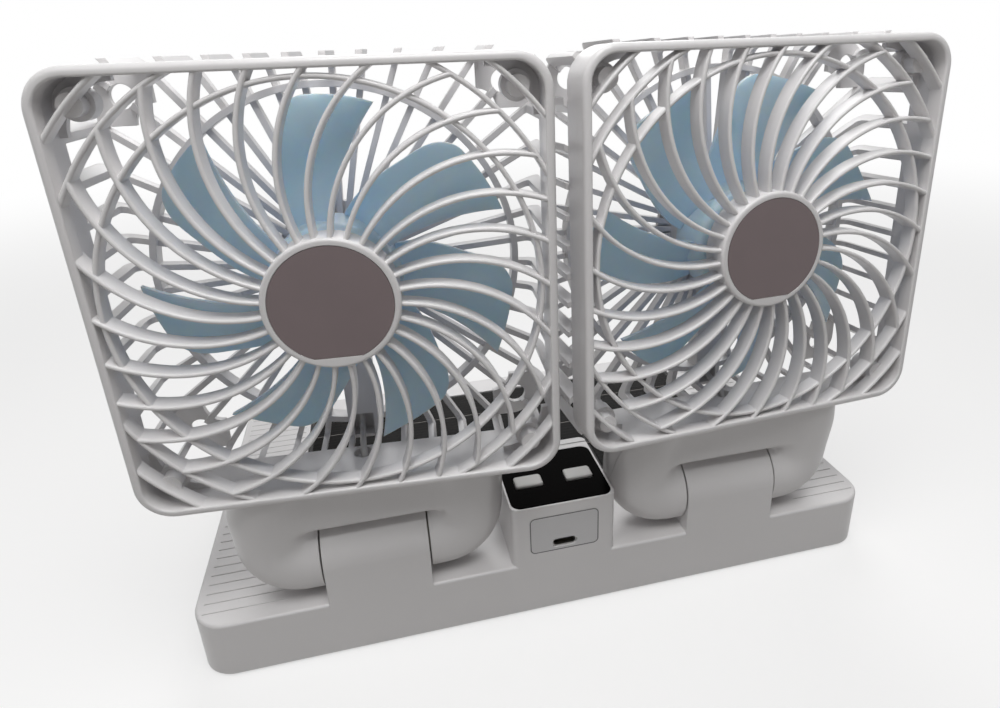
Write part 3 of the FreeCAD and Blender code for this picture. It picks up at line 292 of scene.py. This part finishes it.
def siliconCell(name):
    # Printed silicon under clear resin: near black, with fine grey fingers across it
    s = solarSettings
    material, tree, surface, place = startMaterial(name)
    crystal = addNode(tree, "ShaderNodeTexVoronoi", inputs={"Vector": place, "Scale": 1 / s["crystal"]})
    tint = addNode(tree, "ShaderNodeMix", {"data_type": "RGBA"},
                   {"Factor": crystal.outputs["Distance"], mixFrom: linearColor(s["cell"]),
                    mixTo: linearColor(s["deep"])})
    wave = addNode(tree, "ShaderNodeTexWave", {"bands_direction": "Y"},
                   {"Vector": place, "Scale": math.tau / s["waveRate"] / s["fingerPitch"]})
    line = addNode(tree, "ShaderNodeMath", {"operation": "GREATER_THAN"},
                   {0: wave.outputs["Fac"], 1: s["fingerShare"]})
    fingers = addNode(tree, "ShaderNodeMix", {"data_type": "RGBA"},
                      {"Factor": line.outputs["Value"], mixFrom: tint.outputs[mixResult],
                       mixTo: linearColor(s["finger"])})
    gloss = addNode(tree, "ShaderNodeMapRange",
                    inputs={"Value": crystal.outputs["Distance"], "To Min": s["smooth"],
                            "To Max": s["rough"]})
    tree.links.new(fingers.outputs[mixResult], surface.inputs["Base Color"])
    tree.links.new(gloss.outputs["Result"], surface.inputs["Roughness"])
    surface.inputs["Specular IOR Level"].default_value = s["mirror"]
    return material


finishes = {slot: plainFinish(*row) for slot, row in plainFinishes.items()}
finishes["white_plastic"] = mouldedAbs("white_moulded_abs")
finishes["blue_plastic"] = milkyPolypropylene("milky_blue_polypropylene")
finishes["solar_cell"] = siliconCell("printed_silicon")
for part in frame["record"]["subparts"]:
    mesh = nodes[part["node"]].data
    mesh.materials.clear()
    mesh.materials.append(finishes[part["material_slot"]])
print("finishes:", len(finishes))


# Tools for the modelled pieces
toolSettings = {
    "level": 0.999,  # a face is level where its normal is at least this upright
    "rise": 0.1 * mm,  # an edge is upright where its ends differ by more than this
    "smoothAngle": 35,  # degrees
}


def clearPick(kind):
    bpy.ops.object.mode_set(mode="EDIT")
    bpy.ops.mesh.select_mode(type=kind)
    bpy.ops.mesh.select_all(action="DESELECT")
    bpy.ops.object.mode_set(mode="OBJECT")


def pickFaces(piece, test):
    # opens edit mode with the faces selected whose normal passes the test
    clearPick("FACE")
    for face in piece.data.polygons:
        face.select = test(face.normal)
    bpy.ops.object.mode_set(mode="EDIT")


def pickEdges(piece, test):
    # the same for edges, by their two ends
    clearPick("EDGE")
    ends = piece.data.vertices
    for edge in piece.data.edges:
        edge.select = test(ends[edge.vertices[0]].co, ends[edge.vertices[1]].co)
    bpy.ops.object.mode_set(mode="EDIT")


def facingUp(normal):
    return normal.z > toolSettings["level"]


def facingDown(normal):
    return normal.z < -toolSettings["level"]


def upright(start, end):
    return abs(start.z - end.z) > toolSettings["rise"]


def extrude(shift):
    bpy.ops.mesh.extrude_region_move(TRANSFORM_OT_translate={"value": shift, "orient_type": "GLOBAL"})


def widen(factors, centre):
    bpy.ops.transform.resize(value=factors, orient_type="GLOBAL", center_override=centre)


def settle():
    # works the new piece's place, turn and size into its mesh
    bpy.ops.object.transform_apply(location=True, rotation=True, scale=True)
    return bpy.context.object


def addBlock(low, high):
    centre = (Vector(low) + Vector(high)) / 2
    bpy.ops.object.select_all(action="DESELECT")
    bpy.ops.mesh.primitive_cube_add(size=1, location=centre, scale=Vector(high) - Vector(low))
    return settle()


def addPillar(radius, low, high, centre, sides):
    bpy.ops.object.select_all(action="DESELECT")
    bpy.ops.mesh.primitive_cylinder_add(vertices=sides, radius=radius, depth=high - low,
                                        location=(centre[0], centre[1], (low + high) / 2))
    return settle()


def pickPiece(piece):
    bpy.ops.object.select_all(action="DESELECT")
    piece.select_set(True)
    bpy.context.view_layer.objects.active = piece


def joinPieces(pieces):
    pickPiece(pieces[0])
    for piece in pieces[1:]:
        piece.select_set(True)
    bpy.ops.object.join()
    return bpy.context.object


def copyPiece(pattern, place):
    # a copy with its own mesh, moved to the place
    mesh = pattern.data.copy()
    mesh.transform(place)
    copy = bpy.data.objects.new(pattern.name, mesh)
    scene.collection.objects.link(copy)
    return copy


def copyTo(pattern, places):
    # one copy of a modelled piece at each place, all in one mesh
    copies = [copyPiece(pattern, place) for place in places]
    bpy.data.objects.remove(pattern)
    return joinPieces(copies)


def applyModifier(piece, kind, settings):
    pickPiece(piece)
    modifier = piece.modifiers.new("step", kind)
    for key, value in settings.items():
        setattr(modifier, key, value)
    bpy.ops.object.modifier_apply(modifier=modifier.name)


def cutAway(piece, cutter):
    applyModifier(piece, "BOOLEAN", {"object": cutter, "operation": "DIFFERENCE"})
    bpy.data.objects.remove(cutter)


def finishPiece(piece, name, slot, body, replaced=None, finish=None):
    piece.name = name
    piece.data.name = name
    pickPiece(piece)
    bpy.ops.object.shade_smooth_by_angle(angle=math.radians(toolSettings["smoothAngle"]))
    piece.data.materials.clear()
    piece.data.materials.append(finishes[finish or slot])
    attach(piece, body)
    if replaced:
        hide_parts(replaced)


# Places of the two heads, as the CAD model stands at rest
headSettings = {
    "left": {"side": -1, "hinge": (-65.55 * mm, -51.94 * mm, 37 * mm), "tilt": 0.55},
    "right": {"side": 1, "hinge": (65.55 * mm, -51.94 * mm, 37 * mm), "tilt": 2.37},
}
bothHeads = {
    "toeOut": 3.84,  # degrees
    "frontReach": 23 * mm,
    "fanAxisRise": 96.8 * mm,
}


def yokePlace(name):
    s = headSettings[name]
    return Matrix.Translation(s["hinge"]) @ Matrix.Rotation(math.radians(-s["tilt"]), 4, "X")


def headPlace(name):
    s = bothHeads
    turn = Matrix.Rotation(math.radians(headSettings[name]["side"] * s["toeOut"]), 4, "Z")
    return yokePlace(name) @ turn @ Matrix.Translation((0, -s["frontReach"], s["fanAxisRise"]))


# Pan-head screws with a cross recess
screwSettings = {
    "headRadius": 2.3 * mm,
    "headHeight": 1.2 * mm,
    "crown": 0.75 * mm,  # how far in the head's edge starts to round
    "crownSteps": 5,
    "recessLength": 2.7 * mm,
    "recessWidth": 0.62 * mm,
    "recessDepth": 0.75 * mm,
    "recessTaper": 0.6,
    "shankRadius": 1.2 * mm,
    "threadPitch": 0.9 * mm,
    "threadRoot": 0.8,  # share of the shank's radius
    "tip": 0.55,  # share of it at the end
    "sides": 32,
}
towardsBack = Matrix.Rotation(math.radians(-90), 4, "X")


def modelScrew(length):
    # stands head up, with its seat at height 0
    s = screwSettings
    screw = addPillar(s["headRadius"], 0, s["headHeight"], (0, 0), s["sides"])
    pickFaces(screw, facingUp)
    bpy.ops.mesh.bevel(offset=s["crown"], segments=s["crownSteps"], affect="EDGES")
    pickFaces(screw, facingDown)
    bpy.ops.mesh.inset(thickness=s["headRadius"] - s["shankRadius"], depth=0)
    turns = int(length / s["threadPitch"])
    step = length / turns / 2
    low = 0
    for turn in range(turns):
        for factor in (s["threadRoot"], 1 / s["threadRoot"]):
            extrude((0, 0, -step))
            low -= step
            widen((factor, factor, 1), (0, 0, low))
    widen((s["tip"], s["tip"], 1), (0, 0, low))
    bpy.ops.object.mode_set(mode="OBJECT")
    half = (s["recessLength"] / 2, s["recessWidth"] / 2)
    floor = s["headHeight"] - s["recessDepth"]
    for reach, width in (half, half[::-1]):
        cutter = addBlock((-reach, -width, floor), (reach, width, s["headHeight"] + s["recessDepth"]))
        pickFaces(cutter, facingDown)
        widen((s["recessTaper"], s["recessTaper"], 1), (0, 0, floor))
        bpy.ops.object.mode_set(mode="OBJECT")
        cutAway(screw, cutter)
    return screw


screwPlaces = {
    "headCorner": 53.74 * mm,
    "headSeat": 12.5 * mm,
    "headLength": 7 * mm,
    "motorReach": 8.5 * mm,
    "motorSeat": 38 * mm,
    "motorLength": 4.6 * mm,
    "yokeReach": 32.3 * mm,
    "yokeRise": 26 * mm,
    "yokeSeat": 4.2 * mm,
    "yokeLength": 8.8 * mm,
    "yokeLean": math.radians(23.39),
    "baseLength": 14.9 * mm,
}


def placeScrews(node, body, length, places):
    finishPiece(copyTo(modelScrew(length), places), node + "_detail", "steel", body, node)


def yokeScrewPlace(side):
    # measured from the hinge, square to the plane where the yoke's halves meet
    s = screwPlaces
    seat = Matrix.Translation((side * s["yokeReach"], s["yokeSeat"], s["yokeRise"]))
    return Matrix.Rotation(s["yokeLean"], 4, "X") @ seat @ towardsBack


def makeScrews():
    s = screwPlaces
    corner = s["headCorner"]
    for name in headSettings:
        body = name + "_head"
        head = headPlace(name)
        places = [head @ Matrix.Translation((x, s["headSeat"], z)) @ towardsBack
                  for x in (-corner, corner) for z in (-corner, corner)]
        placeScrews(name + "_head_screws", body, s["headLength"], places)
        places = [head @ Matrix.Translation((x, s["motorSeat"], 0)) @ towardsBack
                  for x in (-s["motorReach"], s["motorReach"])]
        placeScrews(name + "_motor_screws", body, s["motorLength"], places)
        places = [yokePlace(name) @ yokeScrewPlace(side) for side in (-1, 1)]
        placeScrews(name + "_yoke_screws", body, s["yokeLength"], places)
    low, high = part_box("base_screws")
    radius = screwSettings["headRadius"]
    seat = low.z + screwSettings["headHeight"]
    places = [Matrix.Translation((x, y, seat)) @ Matrix.Rotation(math.pi, 4, "X")
              for x in (low.x + radius, high.x - radius) for y in (low.y + radius, high.y - radius)]
    placeScrews("base_screws", "base", s["baseLength"], places)


makeScrews()
print("screws made")


# Yokes: two bowls and the web between them, moulded as one form and parted where the halves meet
yokeSettings = {
    "podRadius": 13.5 * mm,
    "podStart": 12 * mm,
    "bendReach": 23.8 * mm,
    "bendRise": 8.5 * mm,
    "bendSteps": 12,
    "shoulderShift": (0, -3 * mm, 14.5 * mm),
    "crownShift": (-3.8 * mm, -11.75 * mm, 11.1 * mm),
    "crownScale": (23 / 27, 8.5 / 27, 1),  # of the pod's 27 mm
    "top": 34.1 * mm,
    "overTop": 5 * mm,  # cut off again, so that the edge under the head stays crisp
    "webReach": 32.3 * mm,
    "webLow": 15 * mm,
    "webFoot": (-13 * mm, 2.5 * mm),
    "webHead": (-17.5 * mm, -10.5 * mm),
    "neckRadius": 4.2 * mm,
    "neckPlace": (0, -3 * mm),
    "neckSides": 48,
    "voxel": 0.8 * mm,
    "smoothShare": 0.5,
    "smoothRounds": 70,
    "notchHalf": 18.2 * mm,
    "notchRadius": 14.5 * mm,
    "boreHalf": 23 * mm,
    "boreRadius": 6.05 * mm,
    "screwWay": 2.5 * mm,
    "screwWayLength": 25 * mm,
    "screwWaySides": 32,
    "sides": 96,
}


def modelPod():
    # the right-hand bowl: a stub along the hinge, a bend and an arm that thins under the head
    s = yokeSettings
    bpy.ops.object.select_all(action="DESELECT")
    bpy.ops.mesh.primitive_circle_add(vertices=s["sides"], radius=s["podRadius"], fill_type="NGON",
                                      location=(s["podStart"], 0, 0), rotation=(0, math.pi / 2, 0))
    pod = settle()
    bpy.ops.object.mode_set(mode="EDIT")
    bpy.ops.mesh.select_all(action="SELECT")
    extrude((s["bendReach"] - s["podStart"], 0, 0))
    bpy.ops.mesh.spin(steps=s["bendSteps"], angle=math.pi / 2, center=(s["bendReach"], 0, s["bendRise"]),
                      axis=(0, 1, 0))
    centre = Vector((s["bendReach"] + s["bendRise"], 0, s["bendRise"]))
    for shift, factors in ((s["shoulderShift"], (1, 1, 1)), (s["crownShift"], s["crownScale"])):
        extrude(shift)
        centre += Vector(shift)
        widen(factors, centre)
    extrude((0, 0, s["overTop"]))
    bpy.ops.object.mode_set(mode="OBJECT")
    return pod


def modelWeb():
    s = yokeSettings
    start, end = s["webFoot"]
    web = addBlock((-s["webReach"], start, s["webLow"]), (s["webReach"], end, s["top"]))
    pickFaces(web, facingUp)
    headStart, headEnd = s["webHead"]
    middle = (start + end) / 2
    widen((1, (headEnd - headStart) / (end - start), 1), (0, middle, s["top"]))
    bpy.ops.transform.translate(value=(0, (headStart + headEnd) / 2 - middle, 0))
    extrude((0, 0, s["overTop"]))
    bpy.ops.object.mode_set(mode="OBJECT")
    return web


def alongHinge(radius, half):
    bar = addPillar(radius, -half, half, (0, 0), yokeSettings["sides"])
    bar.data.transform(Matrix.Rotation(math.pi / 2, 4, "Y"))
    return bar


def modelYoke():
    s = yokeSettings
    right = modelPod()
    left = copyPiece(right, Matrix.Scale(-1, 4, (1, 0, 0)))
    left.data.flip_normals()
    neck = addPillar(s["neckRadius"], s["webLow"], s["top"] + s["overTop"], s["neckPlace"], s["neckSides"])
    yoke = joinPieces([right, left, modelWeb(), neck])
    applyModifier(yoke, "REMESH", {"mode": "VOXEL", "voxel_size": s["voxel"]})
    applyModifier(yoke, "SMOOTH", {"factor": s["smoothShare"], "iterations": s["smoothRounds"]})
    cutAway(yoke, alongHinge(s["notchRadius"], s["notchHalf"]))
    cutAway(yoke, alongHinge(s["boreRadius"], s["boreHalf"]))
    for side in (-1, 1):
        way = addPillar(s["screwWay"], 0, s["screwWayLength"], (0, 0), s["screwWaySides"])
        way.data.transform(yokeScrewPlace(side))
        cutAway(yoke, way)
    return yoke


def partOff(piece, point, normal, keepAhead):
    # keeps what lies on one side of a plane and closes the cut
    pickPiece(piece)
    bpy.ops.object.mode_set(mode="EDIT")
    bpy.ops.mesh.select_all(action="SELECT")
    bpy.ops.mesh.bisect(plane_co=point, plane_no=normal, use_fill=True, clear_outer=not keepAhead,
                        clear_inner=keepAhead)
    bpy.ops.object.mode_set(mode="OBJECT")


def makeYokes():
    whole = modelYoke()
    partOff(whole, (0, 0, yokeSettings["top"]), (0, 0, 1), False)
    lean = screwPlaces["yokeLean"]
    for half, keepAhead in (("front", False), ("rear", True)):
        pattern = copyPiece(whole, Matrix())
        partOff(pattern, (0, 0, 0), (0, math.cos(lean), math.sin(lean)), keepAhead)
        for name in headSettings:
            node = f"{name}_yoke_{half}"
            piece = copyPiece(pattern, yokePlace(name))
            finishPiece(piece, node + "_detail", "white_plastic", name + "_head", node)
        bpy.data.objects.remove(pattern)
    bpy.data.objects.remove(whole)


makeYokes()
print("yokes made")


# Push buttons with a pillowed top
buttonSettings = {
    "capLength": 10.2 * mm,
    "capWidth": 6.5 * mm,
    "capCorner": 1.2 * mm,
    "capCornerSteps": 6,
    # inset and rise of each round of the top, from its edge inwards
    "pillow": ((0.12 * mm, 0.15 * mm), (0.2 * mm, 0.12 * mm), (0.35 * mm, 0.08 * mm), (0.4 * mm, 0.03 * mm)),
    "flange": 0.8 * mm,
    "stemRadius": 1.5 * mm,
    "stemLength": 1.4 * mm,
    "stemRound": 0.3 * mm,
    "stemRoundSteps": 3,
    "stemSides": 24,
}


def makeButton(name):
    s = buttonSettings
    low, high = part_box("button_" + name)
    centre = (low + high) / 2
    flangeLow = low.z + s["stemLength"]
    capLow = flangeLow + s["flange"]
    edge = high.z - sum(rise for inset, rise in s["pillow"])
    half = Vector((s["capLength"] / 2, s["capWidth"] / 2))
    cap = addBlock((centre.x - half.x, centre.y - half.y, capLow),
                   (centre.x + half.x, centre.y + half.y, edge))
    pickEdges(cap, upright)
    bpy.ops.mesh.bevel(offset=s["capCorner"], segments=s["capCornerSteps"], affect="EDGES")
    pickFaces(cap, facingUp)
    for inset, rise in s["pillow"]:
        bpy.ops.mesh.inset(thickness=inset, depth=0)
        bpy.ops.transform.translate(value=(0, 0, rise))
    pickFaces(cap, facingDown)
    extrude((0, 0, 0))
    flangeScale = ((high.x - low.x) / s["capLength"], (high.y - low.y) / s["capWidth"], 1)
    widen(flangeScale, (centre.x, centre.y, capLow))
    extrude((0, 0, -s["flange"]))
    bpy.ops.object.mode_set(mode="OBJECT")
    stem = addPillar(s["stemRadius"], low.z, flangeLow, centre, s["stemSides"])
    pickFaces(stem, facingDown)
    bpy.ops.mesh.bevel(offset=s["stemRound"], segments=s["stemRoundSteps"], affect="EDGES")
    bpy.ops.object.mode_set(mode="OBJECT")
    finishPiece(joinPieces([cap, stem]), f"button_{name}_detail", "button_grey", f"{name}_button",
                f"button_{name}")


for name in headSettings:
    makeButton(name)
print("buttons made")


# Printed line round the inlet's label
keyLineSettings = {
    "inset": 0.15 * mm,
    "corner": 2 * mm,
    "cornerSteps": 8,
    "width": 0.32 * mm,
    "thickness": 0.03 * mm,
}


def makeKeyLine():
    s = keyLineSettings
    low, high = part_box("port_label")
    centre = (low + high) / 2
    centre.y = low.y
    extent = (high.x - low.x - 2 * s["inset"], 1, high.z - low.z - 2 * s["inset"])
    bpy.ops.object.select_all(action="DESELECT")
    bpy.ops.mesh.primitive_plane_add(size=1, location=centre, rotation=(math.pi / 2, 0, 0))
    line = settle()
    bpy.ops.object.mode_set(mode="EDIT")
    bpy.ops.mesh.select_all(action="SELECT")
    widen(extent, centre)
    bpy.ops.mesh.bevel(offset=s["corner"], segments=s["cornerSteps"], affect="VERTICES")
    bpy.ops.mesh.select_all(action="SELECT")
    bpy.ops.mesh.inset(thickness=s["width"], depth=0)
    bpy.ops.mesh.delete(type="FACE")
    bpy.ops.object.mode_set(mode="OBJECT")
    applyModifier(line, "SOLIDIFY", {"thickness": s["thickness"], "offset": 1})
    finishPiece(line, "port_label_key_line", "label_grey", "base", finish="key_line_ink")


makeKeyLine()


# Contact pads on the inlet's tongue
contactSettings = {
    "count": 12,
    "pitch": 0.5 * mm,
    "width": 0.28 * mm,
    "length": 3.2 * mm,
    "thickness": 0.05 * mm,
    "setback": 0.5 * mm,
    "corner": 0.08 * mm,
    "cornerSteps": 2,
    "edge": 0.04 * mm,
}


def makeContacts():
    s = contactSettings
    low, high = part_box("usb_c_tongue")
    pad = addBlock((-s["width"] / 2, 0, 0), (s["width"] / 2, s["length"], s["thickness"]))
    pickEdges(pad, upright)
    bpy.ops.mesh.bevel(offset=s["corner"], segments=s["cornerSteps"], affect="EDGES")
    pickFaces(pad, facingUp)
    bpy.ops.mesh.bevel(offset=s["edge"], segments=1, affect="EDGES")
    bpy.ops.object.mode_set(mode="OBJECT")
    centre = (low.x + high.x) / 2
    start = low.y + s["setback"]
    places = []
    for index in range(s["count"]):
        x = centre + (index - (s["count"] - 1) / 2) * s["pitch"]
        places.append(Matrix.Translation((x, start, high.z)))
        places.append(Matrix.Translation((x, start, low.z)) @ Matrix.Rotation(math.pi, 4, "Y"))
    finishPiece(copyTo(pad, places), "usb_c_contacts", "bronze", "base")


makeContacts()
print("inlet dressed")


# Rubber feet with a round edge and a dished sole
footSettings = {
    "radius": 7 * mm,
    "edge": 0.45 * mm,
    "edgeSteps": 4,
    "rim": 1.4 * mm,
    "slope": 0.5 * mm,
    "dish": 0.35 * mm,
    "sides": 64,
}


def makeFeet():
    s = footSettings
    low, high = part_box("base_feet")
    foot = addPillar(s["radius"], low.z, high.z, (0, 0), s["sides"])
    pickFaces(foot, facingDown)
    bpy.ops.mesh.bevel(offset=s["edge"], segments=s["edgeSteps"], affect="EDGES")
    pickFaces(foot, facingDown)
    bpy.ops.mesh.inset(thickness=s["rim"], depth=0)
    bpy.ops.mesh.inset(thickness=s["slope"], depth=0)
    bpy.ops.transform.translate(value=(0, 0, s["dish"]))
    bpy.ops.object.mode_set(mode="OBJECT")
    places = [Matrix.Translation((x, y, 0)) for x in (low.x + s["radius"], high.x - s["radius"])
              for y in (low.y + s["radius"], high.y - s["radius"])]
    finishPiece(copyTo(foot, places), "base_feet_detail", "foot_rubber", "base", "base_feet")


makeFeet()
print("feet made")


# Floor, air and lamps
studio = {
    "floorSize": 8,
    "floorSeen": "#fbfaf9",
    "floorGlow": "#b0aeac",  # what the floor throws back on the object
    "floorRoughness": 0.9,
    "shadowKept": 0.38,  # share of the real floor that the camera sees near the object
    "fadeStart": 0.35,
    "fadeEnd": 1.1,
    "air": 0.09,
    "lamps": [
        # name, place, aim, side, watts
        ("topSoftbox", (-0.02, -0.24, 0.6), (0, -0.05, 0.1), 0.3, 2.0),
        ("leftSoftbox", (-0.38, -0.3, 0.55), (0, 0, 0.1), 0.3, 0.45),
        ("backPanel", (0.3, 1.3, 1.3), (0, 0, 0.1), 1.2, 13),
    ],
}


def seenDirectly(tree):
    # 1 for what the camera sees, also in a mirror or through glass, and 0 for light on the object
    light = addNode(tree, "ShaderNodeLightPath")
    seen = addNode(tree, "ShaderNodeMath", {"operation": "ADD", "use_clamp": True},
                   {0: light.outputs["Is Camera Ray"], 1: light.outputs["Is Glossy Ray"]})
    seen = addNode(tree, "ShaderNodeMath", {"operation": "ADD", "use_clamp": True},
                   {0: seen.outputs[0], 1: light.outputs["Is Transmission Ray"]})
    return seen.outputs[0]


def makeFloor():
    # Pale paper: matt, and it fades to plain white away from the object
    s = studio
    bpy.ops.object.select_all(action="DESELECT")
    bpy.ops.mesh.primitive_plane_add(size=s["floorSize"])
    floor = bpy.context.object
    floor.name = "floor"
    material, tree, surface, place = startMaterial("pale_paper_floor")
    seen = seenDirectly(tree)
    paper = addNode(tree, "ShaderNodeMix", {"data_type": "RGBA"},
                    {"Factor": seen, mixFrom: linearColor(s["floorGlow"]),
                     mixTo: linearColor(s["floorSeen"])})
    tree.links.new(paper.outputs[mixResult], surface.inputs["Base Color"])
    surface.inputs["Roughness"].default_value = s["floorRoughness"]
    reach = addNode(tree, "ShaderNodeVectorMath", {"operation": "LENGTH"}, {0: place})
    fade = addNode(tree, "ShaderNodeMapRange", {"interpolation_type": "SMOOTHSTEP"},
                   {"Value": reach.outputs["Value"], "From Min": s["fadeStart"], "From Max": s["fadeEnd"],
                    "To Min": 1 - s["shadowKept"], "To Max": 1})
    share = addNode(tree, "ShaderNodeMath", {"operation": "MULTIPLY"},
                    {0: seen, 1: fade.outputs["Result"]})
    white = addNode(tree, "ShaderNodeEmission", inputs={"Color": pureWhite, "Strength": 1})
    mixed = addNode(tree, "ShaderNodeMixShader",
                    inputs={0: share.outputs[0], 1: surface.outputs[0], 2: white.outputs[0]})
    tree.links.new(mixed.outputs[0], tree.nodes["Material Output"].inputs["Surface"])
    floor.data.materials.append(material)


def makeAir():
    world = bpy.data.worlds.new("studioAir")
    scene.world = world
    world.use_nodes = True
    tree = world.node_tree
    soft = tree.nodes["Background"]
    soft.inputs["Color"].default_value = pureWhite
    soft.inputs["Strength"].default_value = studio["air"]
    white = addNode(tree, "ShaderNodeBackground", inputs={"Color": pureWhite, "Strength": 1})
    mixed = addNode(tree, "ShaderNodeMixShader",
                    inputs={0: seenDirectly(tree), 1: soft.outputs[0], 2: white.outputs[0]})
    tree.links.new(mixed.outputs[0], tree.nodes["World Output"].inputs["Surface"])


def makeLamps():
    for name, place, aim, side, watts in studio["lamps"]:
        data = bpy.data.lights.new(name, "AREA")
        data.size = side
        data.energy = watts
        lamp = bpy.data.objects.new(name, data)
        lamp.location = place
        lamp.rotation_euler = (Vector(aim) - Vector(place)).to_track_quat("-Z", "Y").to_euler()
        lamp.visible_camera = False
        scene.collection.objects.link(lamp)


makeFloor()
makeAir()
makeLamps()
print("studio set")
